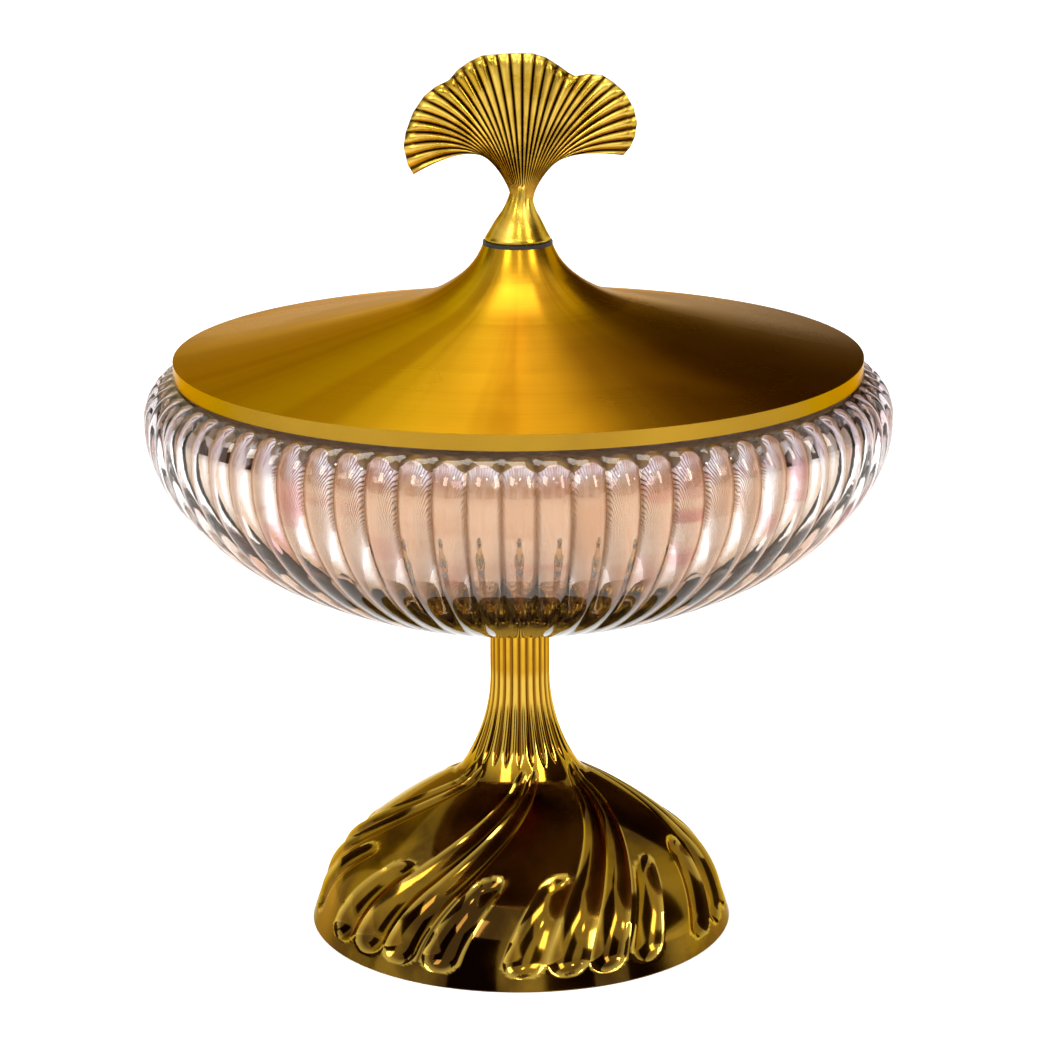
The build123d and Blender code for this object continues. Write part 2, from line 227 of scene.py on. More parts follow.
def blend_colours(tree, share, first, second):
    """Goes from the first colour to the second as the share goes from 0 to 1."""
    made = tree.nodes.new("ShaderNodeMix")
    made.data_type = "RGBA"
    join(tree, share, made.inputs[0])
    join(tree, first, made.inputs[6])
    join(tree, second, made.inputs[7])
    return made.outputs[2]


def step_between(tree, value, low, high):
    """A soft step that is 0 at the low value and 1 at the high one."""
    made = tree.nodes.new("ShaderNodeMapRange")
    made.interpolation_type = "SMOOTHSTEP"
    join(tree, value, made.inputs["Value"])
    made.inputs["From Min"].default_value = low
    made.inputs["From Max"].default_value = high
    return made.outputs["Result"]


def new_group(name, inputs, outputs):
    """An empty node group with named inputs and outputs; each input starts at its usual value."""
    group = bpy.data.node_groups.new(name, "ShaderNodeTree")
    for label, value in inputs.items():
        socket = group.interface.new_socket(name=label, in_out="INPUT", socket_type="NodeSocketFloat")
        socket.default_value = value
    for label in outputs:
        group.interface.new_socket(name=label, in_out="OUTPUT", socket_type="NodeSocketFloat")
    entry = group.nodes.new("NodeGroupInput")
    leaving = group.nodes.new("NodeGroupOutput")
    return group, entry.outputs, leaving.inputs


def use_group(tree, group, **inputs):
    """Places a node group in a material with its own values."""
    made = tree.nodes.new("ShaderNodeGroup")
    made.node_tree = group
    for name, value in inputs.items():
        join(tree, value, made.inputs[name])
    return made.outputs


def object_point(tree):
    """The surface point in its piece's own axes, so that a finish moves with its piece."""
    return add_node(tree, "ShaderNodeTexCoord").outputs["Object"]


def point_parts(tree):
    """The surface point as x, y, z and its distance from the jar's axis."""
    parts = add_node(tree, "ShaderNodeSeparateXYZ", Vector=object_point(tree)).outputs
    squares = plus(tree, times(tree, parts[0], parts[0]), times(tree, parts[1], parts[1]))
    return parts[0], parts[1], parts[2], reckon(tree, "SQRT", squares)


def painted(tree, label):
    """A value painted on a piece's points."""
    return add_node(tree, "ShaderNodeAttribute", {"attribute_name": label}).outputs["Fac"]


def noise(tree, spot, **inputs):
    """A cloudy value from 0 to 1."""
    return add_node(tree, "ShaderNodeTexNoise", Vector=spot, **inputs).outputs[0]


# Effects that several finishes share

def make_turned_marks():
    """Fine rings left by brushing a part while it turns on a lathe."""
    group, given, result = new_group("turned_marks", {"Rings": 2600.0, "Arc": 1.2}, ("Height", "Tone"))
    x, y, z, reach = point_parts(group)
    turn = reckon(group, "ARCTAN2", y, x)
    spot = add_node(group, "ShaderNodeCombineXYZ", X=times(group, reach, given["Rings"]),
                    Y=times(group, turn, given["Arc"]), Z=times(group, z, given["Rings"])).outputs[0]
    fine = noise(group, spot, Scale=1.0, Detail=3.0)
    wide_spot = add_node(group, "ShaderNodeVectorMath", {"operation": "SCALE"}, Vector=spot, Scale=0.09)
    wide = noise(group, wide_spot.outputs[0], Scale=1.0, Detail=2.0)
    join(group, fine, result["Height"])
    join(group, plus(group, times(group, fine, 0.5), times(group, wide, 0.5)), result["Tone"])
    return group


def make_handling_and_reflection_clouds():
    """Soft uneven patches where lacquer and fingers have dulled a surface; on the foot they also place
    painted dark reflections.
    """
    group, given, result = new_group("handling_and_reflection_clouds", {"Size": 30.0, "Grain": 420.0},
                                     ("Patches", "Grain"))
    point = object_point(group)
    broad = noise(group, point, Scale=given["Size"], Detail=4.0, Distortion=0.4)
    join(group, step_between(group, broad, 0.36, 0.66), result["Patches"])
    join(group, noise(group, point, Scale=given["Grain"], Detail=2.0), result["Grain"])
    return group


def make_hollow_mask():
    """Reads the depth painted on a piece's points: 0 on its high edges, 1 in its hollows."""
    group, given, result = new_group("hollow_mask", {"Low": 0.15, "High": 0.8}, ("Hollow", "Edge"))
    ranged = group.nodes.new("ShaderNodeMapRange")
    join(group, painted(group, "depth"), ranged.inputs["Value"])
    join(group, given["Low"], ranged.inputs["From Min"])
    join(group, given["High"], ranged.inputs["From Max"])
    join(group, ranged.outputs[0], result["Hollow"])
    join(group, opposite(group, ranged.outputs[0]), result["Edge"])
    return group


TURNED = make_turned_marks()
CLOUDS = make_handling_and_reflection_clouds()
HOLLOWS = make_hollow_mask()


# Finishes

def new_finish(name, **settings):
    """A material with one main shader; its constant settings stay on the shader's own sockets."""
    material = bpy.data.materials.new(name)
    material.use_nodes = True
    shader = material.node_tree.nodes["Principled BSDF"]
    for label, value in settings.items():
        shader.inputs[label.replace("_", " ")].default_value = value
    return material, material.node_tree, shader.inputs


def raise_surface(tree, height, strength, depth, shader):
    """Turns a height into small bumps."""
    bump = add_node(tree, "ShaderNodeBump", Height=height, Strength=strength, Distance=depth)
    tree.links.new(bump.outputs[0], shader["Normal"])


def dull(tree, shader, smooth, patches, gain):
    """Sets the roughness: a smooth level, and a gain where the patches are."""
    join(tree, plus(tree, smooth, times(tree, patches, gain)), shader["Roughness"])


def lid_gold():
    """Lacquered sheet brushed in rings: deep amber, with a smoother and paler turned-down band, and painted
    reflections: a dark right side, a greenish-gold left side and darker streaks round the axis.
    """
    amber, pale_amber = (0.42, 0.195, 0.007, 1.0), (0.68, 0.36, 0.020, 1.0)
    reflected_olive_gold, painted_streak_brown = (0.40, 0.27, 0.012, 1.0), (0.24, 0.095, 0.003, 1.0)
    reflected_deep_brown, dulled_amber = (0.105, 0.027, 0.005, 1.0), (0.34, 0.155, 0.005, 1.0)
    band_gold = (0.38, 0.215, 0.020, 1.0)
    material, tree, shader = new_finish("lid_gold", Metallic=1.0, Anisotropic=0.85,
                                        Anisotropic_Rotation=0.25, Specular_Tint=(0.95, 0.62, 0.22, 1.0))
    marks = use_group(tree, TURNED, Rings=3400.0, Arc=0.9)
    clouds = use_group(tree, CLOUDS, Size=22.0, Grain=500.0)
    x, y, z, reach = point_parts(tree)
    above_band = step_between(tree, z, *BAND_TOP)
    band = times(tree, step_between(tree, reach, *BAND_SIDE), opposite(tree, above_band))
    turn = reckon(tree, "ARCTAN2", y, x)
    # Painted reflection streaks: darker wedges set by a noise on the angle about the axis.
    streak_spot = add_node(tree, "ShaderNodeCombineXYZ", X=reckon(tree, "COSINE", turn),
                        Y=reckon(tree, "SINE", turn), Z=times(tree, z, 3.0)).outputs[0]
    fan = step_between(tree, noise(tree, streak_spot, Scale=4.2, Detail=3.0), 0.44, 0.62)
    # Painted reflections: the dark right side and the greenish-gold left side follow the angle about the
    # axis.
    painted_dark_side = step_between(tree, reckon(tree, "COSINE", plus(tree, turn, 0.12)), -0.05, 0.75)
    painted_dark_side = times(tree, painted_dark_side, step_between(tree, reach, 0.012, 0.06))
    painted_olive_side = step_between(tree, reckon(tree, "COSINE", plus(tree, turn, 2.75)), 0.35, 0.95)
    tone = blend_colours(tree, marks["Tone"], amber, pale_amber)
    tone = blend_colours(tree, times(tree, painted_olive_side, 0.6), tone, reflected_olive_gold)
    tone = blend_colours(tree, times(tree, fan, 0.45), tone, painted_streak_brown)
    tone = blend_colours(tree, times(tree, painted_dark_side, 0.92), tone, reflected_deep_brown)
    tone = blend_colours(tree, times(tree, clouds["Patches"], 0.2), tone, dulled_amber)
    tone = blend_colours(tree, band, tone, band_gold)
    join(tree, tone, shader["Base Color"])
    rough = plus(tree, 0.27, times(tree, clouds["Patches"], 0.05))
    join(tree, reckon(tree, "SUBTRACT", rough, times(tree, band, 0.08)), shader["Roughness"])
    way = add_node(tree, "ShaderNodeTangent", {"direction_type": "RADIAL", "axis": "Z"})
    tree.links.new(way.outputs[0], shader["Tangent"])
    raise_surface(tree, marks["Height"], 0.10, 0.00005, shader)
    return material


def pedestal_gold():
    """Antique gold casting: the foot darkened in cloudy patches, partly its antique finish and partly painted
    dark reflection; darker in the stem's flutes, worn bright along the ridges.
    """
    reflected_dark_olive, reflected_olive_gold = (0.050, 0.022, 0.002, 1.0), (0.25, 0.135, 0.010, 1.0)
    stem_gold, pale_gold = (0.42, 0.22, 0.010, 1.0), (0.66, 0.38, 0.024, 1.0)
    flute_brown, worn_gold = (0.19, 0.075, 0.003, 1.0), (0.60, 0.40, 0.065, 1.0)
    material, tree, shader = new_finish("pedestal_gold", Metallic=1.0, Coat_Weight=0.08,
                                        Coat_Roughness=0.05, Specular_Tint=(0.95, 0.68, 0.2, 1.0))
    clouds = use_group(tree, CLOUDS, Size=34.0, Grain=700.0)
    hollow = use_group(tree, HOLLOWS, Low=0.04, High=0.5)
    height = point_parts(tree)[2]
    # The foot's cloudy dark patches are painted dark reflection laid over its antique finish.
    foot = blend_colours(tree, clouds["Patches"], reflected_dark_olive, reflected_olive_gold)
    stem = blend_colours(tree, clouds["Patches"], stem_gold, pale_gold)
    stem = blend_colours(tree, hollow["Hollow"], stem, flute_brown)
    tone = blend_colours(tree, step_between(tree, height, 0.046, 0.056), foot, stem)
    ridge = times(tree, hollow["Edge"], painted(tree, "worked"))
    join(tree, blend_colours(tree, times(tree, ridge, 0.75), tone, worn_gold), shader["Base Color"])
    dull(tree, shader, 0.07, clouds["Patches"], 0.07)
    raise_surface(tree, clouds["Grain"], 0.05, 0.0001, shader)
    return material


def knob_brass():
    """Cast brass, bright on the pleats and dark with age between them."""
    brass, pale_brass = (0.46, 0.275, 0.022, 1.0), (0.78, 0.52, 0.085, 1.0)
    aged_brown = (0.050, 0.022, 0.0015, 1.0)
    material, tree, shader = new_finish("knob_brass", Metallic=1.0,
                                        Specular_Tint=(0.95, 0.72, 0.25, 1.0))
    clouds = use_group(tree, CLOUDS, Size=90.0, Grain=900.0)
    hollow = use_group(tree, HOLLOWS, Low=0.15, High=0.75)
    bright = blend_colours(tree, clouds["Patches"], brass, pale_brass)
    join(tree, blend_colours(tree, hollow["Hollow"], bright, aged_brown), shader["Base Color"])
    dull(tree, shader, 0.24, clouds["Patches"], 0.12)
    raise_surface(tree, clouds["Grain"], 0.12, 0.0002, shader)
    return material


def bowl_glass():
    """Clear pressed glass: amber low down, and painted reflections: brownish lines between the ribs, uneven
    tints from rib to rib and a greyer band near the top.
    """
    reflected_smoke, clear, reflected_pink = (0.90, 0.80, 0.74, 1.0), (0.99, 0.98, 0.99, 1.0), (0.80, 0.50, 0.53, 1.0)
    reflected_lilac_grey, amber, painted_valley_tan = (0.55, 0.49, 0.53, 1.0), (0.42, 0.18, 0.03, 1.0), (0.20, 0.085, 0.010, 1.0)
    material, tree, shader = new_finish("bowl_glass", Metallic=0.0, Transmission_Weight=0.98, IOR=1.5,
                                        Specular_Tint=(0.95, 0.85, 0.70, 1.0))
    clouds = use_group(tree, CLOUDS, Size=60.0, Grain=260.0)
    hollow = use_group(tree, HOLLOWS, Low=0.5, High=0.85)
    x, y, z, reach = point_parts(tree)
    along_ribs = times(tree, reckon(tree, "ARCTAN2", y, x), RIB_COUNT / (2.0 * math.pi))
    rib = reckon(tree, "FLOOR", plus(tree, along_ribs, 0.5))
    # Painted reflections: tints that change from rib to rib in cloudy patches.
    spot = add_node(tree, "ShaderNodeCombineXYZ", X=times(tree, rib, 3.7), Y=times(tree, z, 52.0),
                    Z=times(tree, reach, 30.0))
    reflection_patch = noise(tree, spot.outputs[0], Scale=0.8, Detail=3.0, Distortion=0.8)
    top = step_between(tree, z, 0.158, 0.166)
    low = opposite(tree, step_between(tree, z, 0.118, 0.148))
    tone = blend_colours(tree, step_between(tree, reflection_patch, 0.37, 0.43), reflected_smoke, clear)
    tone = blend_colours(tree, step_between(tree, reflection_patch, 0.57, 0.63), tone, reflected_pink)
    # Painted dark reflection in a band near the top.
    tone = blend_colours(tree, times(tree, top, 0.8), tone, reflected_lilac_grey)
    tone = blend_colours(tree, times(tree, low, 0.85), tone, amber)
    # Painted reflection lines in the valleys between the ribs.
    tone = blend_colours(tree, times(tree, hollow["Hollow"], 0.9), tone, painted_valley_tan)
    join(tree, tone, shader["Base Color"])
    join(tree, times(tree, clouds["Patches"], 0.015), shader["Roughness"])
    raise_surface(tree, clouds["Grain"], 0.06, 0.0003, shader)
    return material


def plated(name, dark, light, roughness, rings):
    """A turned fitting in brass or steel."""
    material, tree, shader = new_finish(name, Metallic=1.0)
    marks = use_group(tree, TURNED, Rings=rings, Arc=1.5)
    clouds = use_group(tree, CLOUDS, Size=120.0, Grain=900.0)
    join(tree, blend_colours(tree, marks["Tone"], dark, light), shader["Base Color"])
    dull(tree, shader, roughness, clouds["Patches"], 0.1)
    raise_surface(tree, marks["Height"], 0.12, 0.00005, shader)
    return material


def soft_part(name, dark, light, roughness, grain, strength):
    """Silicone, black fibre or felt: no shine, and a fine uneven surface."""
    material, tree, shader = new_finish(name, Metallic=0.0)
    clouds = use_group(tree, CLOUDS, Size=150.0, Grain=grain)
    join(tree, blend_colours(tree, clouds["Grain"], dark, light), shader["Base Color"])
    dull(tree, shader, roughness, clouds["Patches"], 0.12)
    raise_surface(tree, clouds["Grain"], strength, 0.0004, shader)
    return material


def floor_finish():
    """Plain pale floor: matt, with a little glow where the camera or a reflection looks at it."""
    material, tree, shader = new_finish("pale_floor", Roughness=0.9)
    grain = noise(tree, object_point(tree), Scale=40.0, Detail=3.0)
    join(tree, blend_colours(tree, grain, (0.90, 0.90, 0.90, 1.0), (0.93, 0.93, 0.93, 1.0)),
         shader["Base Color"])
    path = tree.nodes.new("ShaderNodeLightPath").outputs
    mirrored = times(tree, path["Is Glossy Ray"], 0.4)
    seen = reckon(tree, "ADD", path["Is Camera Ray"], plus(tree, mirrored, path["Is Transmission Ray"]),
                  clamp=True)
    shader["Emission Color"].default_value = (1.0, 1.0, 1.0, 1.0)
    join(tree, times(tree, seen, 0.62), shader["Emission Strength"])
    return material


def card_finish(name, colour):
    """A matt card that stands outside the picture and gives the metal something to mirror."""
    material, tree, shader = new_finish(name, Roughness=0.9, Specular_IOR_Level=0.0,
                                        Base_Color=(0.02, 0.015, 0.01, 1.0), Emission_Strength=1.0)
    grain = noise(tree, object_point(tree), Scale=2.5, Detail=2.0)
    paler = tuple(1.6 * part for part in colour[:3]) + (1.0,)
    join(tree, blend_colours(tree, grain, colour, paler), shader["Emission Color"])
    return material


# Studio

def set_studio():
    """Pale floor, a few cards outside the picture, four soft lamps and white surroundings."""
    flat_panel("floor", (0, 2.0, 0), (0, 2.0, 1), 12.0, 12.0, floor_finish())
    dark = card_finish("dark_card", (0.030, 0.012, 0.008, 1.0))
    warm = card_finish("warm_card", (0.34, 0.29, 0.14, 1.0))
    for name, centre, width, height, finish in (
            ("card_back_right", (1.00, 2.2, 1.15), 1.75, 1.7, dark),
            ("card_back_left", (-1.25, 2.2, 1.05), 1.9, 1.5, warm),
            ("card_right", (1.9, -0.3, 0.9), 1.8, 1.6, dark),
            ("card_left", (-2.1, 0.3, 0.7), 1.2, 1.2, dark),
            ("card_front_left", (-1.2, -2.4, 0.75), 1.3, 1.4, dark),
            ("card_front_right", (1.15, -2.4, 0.75), 1.3, 1.4, dark)):
        card = flat_panel(name, centre, (0, 0, 0.2), width, height, finish)
        card.visible_camera = False
    soft_lamp("lamp_left", (-0.95, -1.35, 1.35), (0, 0, 0.14), 0.6, 0.7, 14.0, (1.0, 0.97, 0.93))
    soft_lamp("lamp_right", (1.15, -1.0, 1.05), (0, 0, 0.14), 0.35, 0.8, 10.0, (1.0, 0.97, 0.94))
    soft_lamp("lamp_small", (0.12, -1.1, 1.25), (0, 0, 0.16), 0.14, 0.14, 2.0)
    soft_lamp("lamp_top", (-0.1, 0.3, 1.8), (0, 0, 0.14), 0.9, 0.9, 16.0)
    set_surroundings()


def set_surroundings():
    """White all round: full where it is seen, and a little less as light on the jar."""
    world = bpy.data.worlds.new("studio")
    world.use_nodes = True
    bpy.context.scene.world = world
    tree = world.node_tree
    base = tree.nodes["Background"].inputs
    base["Color"].default_value = (1.0, 1.0, 1.0, 1.0)
    path = tree.nodes.new("ShaderNodeLightPath").outputs
    mirrored = plus(tree, path["Is Glossy Ray"], path["Is Transmission Ray"])
    seen = reckon(tree, "ADD", path["Is Camera Ray"], mirrored, clamp=True)
    join(tree, plus(tree, 0.7, times(tree, seen, 0.3)), base["Strength"])


# Lines and grids that the shapes are made from

def arc_through(first, middle, last, count):
    """Points on the circle through three points, from the first to just before the last."""
    (ax, ay), (bx, by), (cx, cy) = first, middle, last
    a, b, c = ax**2 + ay**2, bx**2 + by**2, cx**2 + cy**2
    scale = 2 * (ax * (by - cy) + bx * (cy - ay) + cx * (ay - by))
    centre_x = (a * (by - cy) + b * (cy - ay) + c * (ay - by)) / scale
    centre_y = (a * (cx - bx) + b * (ax - cx) + c * (bx - ax)) / scale
    start = math.atan2(ay - centre_y, ax - centre_x)
    end = math.atan2(cy - centre_y, cx - centre_x)
    turn = (end - start + math.pi) % (2 * math.pi) - math.pi
    radius = math.hypot(ax - centre_x, ay - centre_y)
    angles = [start + turn * i / count for i in range(count)]
    return [(centre_x + radius * math.cos(angle), centre_y + radius * math.sin(angle)) for angle in angles]


def straight(first, last, count):
    """Evenly spaced points from the first to just before the last."""
    return [(first[0] + (last[0] - first[0]) * i / count, first[1] + (last[1] - first[1]) * i / count)
            for i in range(count)]


def along(points):
    """Distance walked to each point of a line."""
    walked = [0.0]
    for a, b in zip(points, points[1:]):
        walked.append(walked[-1] + math.hypot(b[0] - a[0], b[1] - a[1]))
    return walked


def across(place):
    """0 in the middle of a rib, flute or pleat and 1 half-way to the next, for a place counted in them."""
    return abs((place + 0.5) % 1.0 - 0.5) * 2


def grid_faces(rows, columns, closed_rows=False, closed_columns=True):
    """Four-sided faces between the points of a grid, row by row."""
    faces = []
    for row in range(rows if closed_rows else rows - 1):
        for c in range(columns if closed_columns else columns - 1):
            below, right = (row + 1) % rows, (c + 1) % columns
            faces.append((row * columns + c, row * columns + right,
                          below * columns + right, below * columns + c))
    return faces


def shown_piece(name, points, faces, material, body, slot, replaced, crease, **paints):
    """Makes a smooth mesh in metres that rides on a body and stands for a CAD node."""
    mesh = bpy.data.meshes.new(name)
    mesh.from_pydata([(x * MM, y * MM, z * MM) for x, y, z in points], [], faces)
    mesh.validate()
    for label, values in paints.items():
        mesh.attributes.new(label, "FLOAT", "POINT").data.foreach_set("value", values)
    mesh.polygons.foreach_set("use_smooth", [True] * len(mesh.polygons))
    mesh.set_sharp_from_angle(angle=math.radians(crease))
    mesh.materials.append(material)
    piece = bpy.data.objects.new(name, mesh)
    bpy.context.collection.objects.link(piece)
    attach(piece, body)
    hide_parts(replaced)


# Glass bowl

def bowl_curve(belly, bottom, first, last, count):
    """The bowl's lower curve between two turns in degrees: 90 is the belly and 0 the bottom."""
    line = []
    for i in range(count):
        turn = math.radians(first + (last - first) * i / (count - 1))
        height = BELLY_HEIGHT - (BELLY_HEIGHT - bottom) * math.cos(turn)
        share = (BELLY_HEIGHT - height) / (BELLY_HEIGHT - bottom)
        line.append((belly * math.sqrt(max(0.0, 1 - share**BOWL_FULLNESS)), height))
    return line


def shoulder_arc(radius, turns):
    """Points of the rounded shoulder at turns in degrees above the belly."""
    across_centre, up_centre = SHOULDER_CENTRE
    return [(across_centre + radius * math.cos(math.radians(turn)),
             up_centre + radius * math.sin(math.radians(turn))) for turn in turns]


def ribbed_bowl(material):
    """Pressed glass bowl: 72 rounded ribs that end in small arches under the lid, smooth inside."""
    outer = [(BOLT_HOLE_RADIUS + 0.6, BOWL_BOTTOM), (BOWL_SEAT_RADIUS, BOWL_BOTTOM)]
    outer += bowl_curve(BELLY_RADIUS, BOWL_BOTTOM, 7, 90, 46)
    outer += shoulder_arc(SHOULDER_CURVE, [RIB_END * i / 18 for i in range(1, 19)])
    rim = [(RIM_OUTER_RADIUS + 0.7, RIM_TOP - 0.92), (RIM_OUTER_RADIUS, RIM_TOP - 0.62),
           (RIM_OUTER_RADIUS - 0.2, RIM_TOP - 0.17), (RIM_OUTER_RADIUS - 0.6, RIM_TOP),
           (MOUTH_RADIUS + 0.5, RIM_TOP), (MOUTH_RADIUS + 0.1, RIM_TOP - 0.17),
           (MOUTH_RADIUS, RIM_TOP - 0.62), (MOUTH_RADIUS, RIM_TOP - 4.32),
           (MOUTH_RADIUS + 0.3, RIM_TOP - 4.82), (MOUTH_RADIUS + 1.0, RIM_TOP - 4.92)]
    inner = shoulder_arc(SHOULDER_CURVE - BOWL_WALL, [90 - 9 * i for i in range(11)])
    inner += bowl_curve(BELLY_RADIUS - BOWL_WALL, BOWL_FLOOR, 90, 12, 31)
    inner += [(BOWL_FLOOR_RADIUS, BOWL_FLOOR), (BOLT_HOLE_RADIUS + 0.3, BOWL_FLOOR),
              (BOLT_HOLE_RADIUS, BOWL_FLOOR - 0.3), (BOLT_HOLE_RADIUS, BOWL_BOTTOM + 0.3)]
    walked = along(outer)
    arch_start = walked[-1] - ARCH_START
    columns = RIB_COUNT * RIB_COLUMNS
    rows = outer + rim + inner
    points, depth = [], []
    for row, (reach, height) in enumerate(rows):
        ribbed = 2 <= row < len(outer)
        arch = max(0.0, (walked[row] - arch_start) / ARCH_LENGTH) if ribbed else 0.0
        fade_in = min(1.0, (row - 1) / 4.0)
        for c in range(columns):
            sunk = min(1.0, across(c / RIB_COLUMNS)**2 + arch**2) if ribbed else 0.0
            ribbed_reach = reach - RIB_DEPTH * sunk * reach / BELLY_RADIUS * fade_in
            turn = 2 * math.pi * c / columns
            points.append((ribbed_reach * math.cos(turn), ribbed_reach * math.sin(turn), height))
            depth.append(sunk)
    faces = grid_faces(len(rows), columns, closed_rows=True)
    shown_piece("glass_bowl_ribbed", points, faces, material, "jar", "bowl_glass", "glass_bowl", 50.0,
                depth=depth)


# Pedestal

def pedestal_outline():
    """Side of the pedestal below the plain stem: hollow flare, low shoulder, dome and lip."""
    flare_middle, flare_foot = (11.42, 62.32), (18.31, 47.97)
    dome_start, dome_top, dome_bend, dome_low = (20.52, 45.86), (35.74, 36.89), (50.03, 25.97), (57.58, 18.02)
    dome_end = (FOOT_RADIUS - 2.4, FOOT_LIP_HEIGHT)
    lip_end = (FOOT_RADIUS, FOOT_BOTTOM)
    line = arc_through((STEM_RADIUS, FLARE_HEIGHT), flare_middle, flare_foot, 34)
    line += straight(flare_foot, dome_start, 4)
    line += arc_through(dome_start, dome_top, dome_bend, 30)
    line += arc_through(dome_bend, dome_low, dome_end, 22)
    return line + straight(dome_end, lip_end, 16) + [lip_end]


def way_along(line, i):
    """Direction of a line at one of its points, one unit long."""
    a, b = line[max(0, i - 1)], line[min(len(line) - 1, i + 1)]
    size = math.hypot(b[0] - a[0], b[1] - a[1])
    return (b[0] - a[0]) / size, (b[1] - a[1]) / size


def scoop_cut(angle, reach, share, length):
    """How far the foot is scooped at an angle: from 0 to 1, and in millimetres."""
    for centre, half, start in SCOOPS:
        off = (angle - centre + SCOOP_GROUP / 2) % SCOOP_GROUP - SCOOP_GROUP / 2
        if abs(off) <= half:
            head = max(0.0, (start + SCOOP_HEAD - share) / SCOOP_HEAD)
            tail = max(0.0, (share * length - (SCOOP_END * length - SCOOP_TAIL)) / SCOOP_TAIL)
            sunk = max(0.0, 1 - (off / half)**2 - head**2 - tail**2)
            return sunk, sunk * SCOOP_DEPTH_SHARE * 2 * reach * math.sin(math.radians(half))
    return 0.0, 0.0


def flute_cut(angle, reach, share):
    """How far the stem is fluted at an angle: from 0 to 1, and in millimetres."""
    tip = max(0.0, (share - FLUTE_END) / FLUTE_FADE)
    sunk = max(0.0, across(angle * FLUTE_COUNT / 360)**2 - tip**2)
    return sunk, sunk * FLUTE_DEPTH * min(FLUTE_WIDEN, reach / STEM_RADIUS)


def swirled_pedestal(material):
    """Fluted stem, flare and domed foot with swirling scoops, hollow underneath."""
    stem = [(ROD_HOLE_RADIUS, STEM_TOP), (STEM_RADIUS - 0.45, STEM_TOP), (STEM_RADIUS, STEM_TOP - 0.4)]
    stem += straight((STEM_RADIUS, STEM_TOP - 2.0), (STEM_RADIUS, FLARE_HEIGHT), 6)
    outline = pedestal_outline()
    rim = [(FOOT_RADIUS - 0.3, 0.1), (FOOT_INNER_RADIUS + 0.4, 0.1), (FOOT_INNER_RADIUS, 0.5)]
    cavity = [(FOOT_INNER_RADIUS, FOOT_LIP_HEIGHT), (54.0, 14.0), (47.5, 22.6), (36.0, 31.5), (22.0, 39.5),
              (18.8, CAVITY_TOP)]
    boss = [(BOSS_RADIUS + 0.4, CAVITY_TOP), (BOSS_RADIUS, CAVITY_TOP - 0.5),
            (BOSS_RADIUS, BOSS_BOTTOM + 0.3), (BOSS_RADIUS - 0.3, BOSS_BOTTOM),
            (ROD_HOLE_RADIUS, BOSS_BOTTOM)]
    walked = along(outline)
    length = walked[-1]
    rows = stem + outline + rim + cavity + boss
    points, depth, worked = [], [], []
    for row, (reach, height) in enumerate(rows):
        i = row - len(stem)
        on_outline = 0 <= i < len(outline)
        share = walked[i] / length if on_outline else (0.0 if i < 0 else 1.0)
        twist = SWIRL_TURN * (max(0.0, SWIRL_END - max(share, SWIRL_START)) / SWIRL_REACH)**SWIRL_POWER
        way = way_along(outline, i) if on_outline else (0.0, -1.0)
        for c in range(PEDESTAL_COLUMNS):
            angle = 360 * c / PEDESTAL_COLUMNS
            sunk, cut = scoop_cut(angle, reach, share, length) if on_outline else (0.0, 0.0)
            flute, flute_depth = flute_cut(angle, reach, share) if row > 1 else (0.0, 0.0)
            if flute * FLUTE_DEPTH > cut:
                sunk, cut = flute, flute_depth
            side = math.radians(angle + twist)
            r = reach + cut * way[1]
            points.append((r * math.sin(side), -r * math.cos(side), height - cut * way[0]))
            depth.append(sunk)
            worked.append(1.0 if on_outline and share < LIP_START and sunk > 0 else 0.0)
    spread_sideways(worked, len(stem), len(outline), PEDESTAL_COLUMNS)
    faces = grid_faces(len(rows), PEDESTAL_COLUMNS)
    shown_piece("pedestal_swirled", points, faces, material, "jar", "pedestal_gold", "pedestal", 35.0,
                depth=depth, worked=worked)


def spread_sideways(worked, first_row, rows, columns):
    """Spreads the worked mark by one column, so that it covers the ridges between the scoops."""
    marked = list(worked)
    for row in range(first_row, first_row + rows):
        for c in range(columns):
            if marked[row * columns + (c - 1) % columns] or marked[row * columns + (c + 1) % columns]:
                worked[row * columns + c] = 1.0


# Knob

def edge_point(share, walked):
    """A point of the leaf's outer edge, as a share of its length."""
    goal = share * walked[-1]
    i = 0
    while i < len(walked) - 2 and goal > walked[i + 1]:
        i += 1
    part = (goal - walked[i]) / (walked[i + 1] - walked[i])
    a, b = LEAF_EDGE[i], LEAF_EDGE[i + 1]
    return a[0] + (b[0] - a[0]) * part, a[1] + (b[1] - a[1]) * part


def leaf_place(u, v, walked):
    """A point of the leaf's middle plane: u goes along its edge, v from the neck out to that edge."""
    root = (LEAF_ROOT_LEFT + LEAF_ROOT_WIDTH * u, LEAF_ROOT_HEIGHT)
    tip = edge_point(u, walked)
    left, right = max(0.0, 1 - 2 * u)**DROOP_POWER, max(0.0, 2 * u - 1)**DROOP_POWER
    bend = [root[i] + BEND_SHARE * (tip[i] - root[i]) + left * DROOP_LEFT[i] + right * DROOP_RIGHT[i]
            for i in (0, 1)]
    return [(1 - v)**2 * root[i] + 2 * v * (1 - v) * bend[i] + v * v * tip[i] for i in (0, 1)]


def leaf_thickness(u, v):
    """Half the leaf's thickness without its pleats: full at the neck, thin at the sides."""
    roundness = math.sqrt(max(0.0, 1 - (2 * u - 1)**2))
    thick = LEAF_ROOT_SWELL * max(0.0, 1 - v / 0.45)**2 * roundness + LEAF_HALF_THICKNESS * min(1.0, v / 0.2)
    return thick * min(1.0, 0.35 + 12 * min(u, 1 - u)) if v > 0.1 else thick


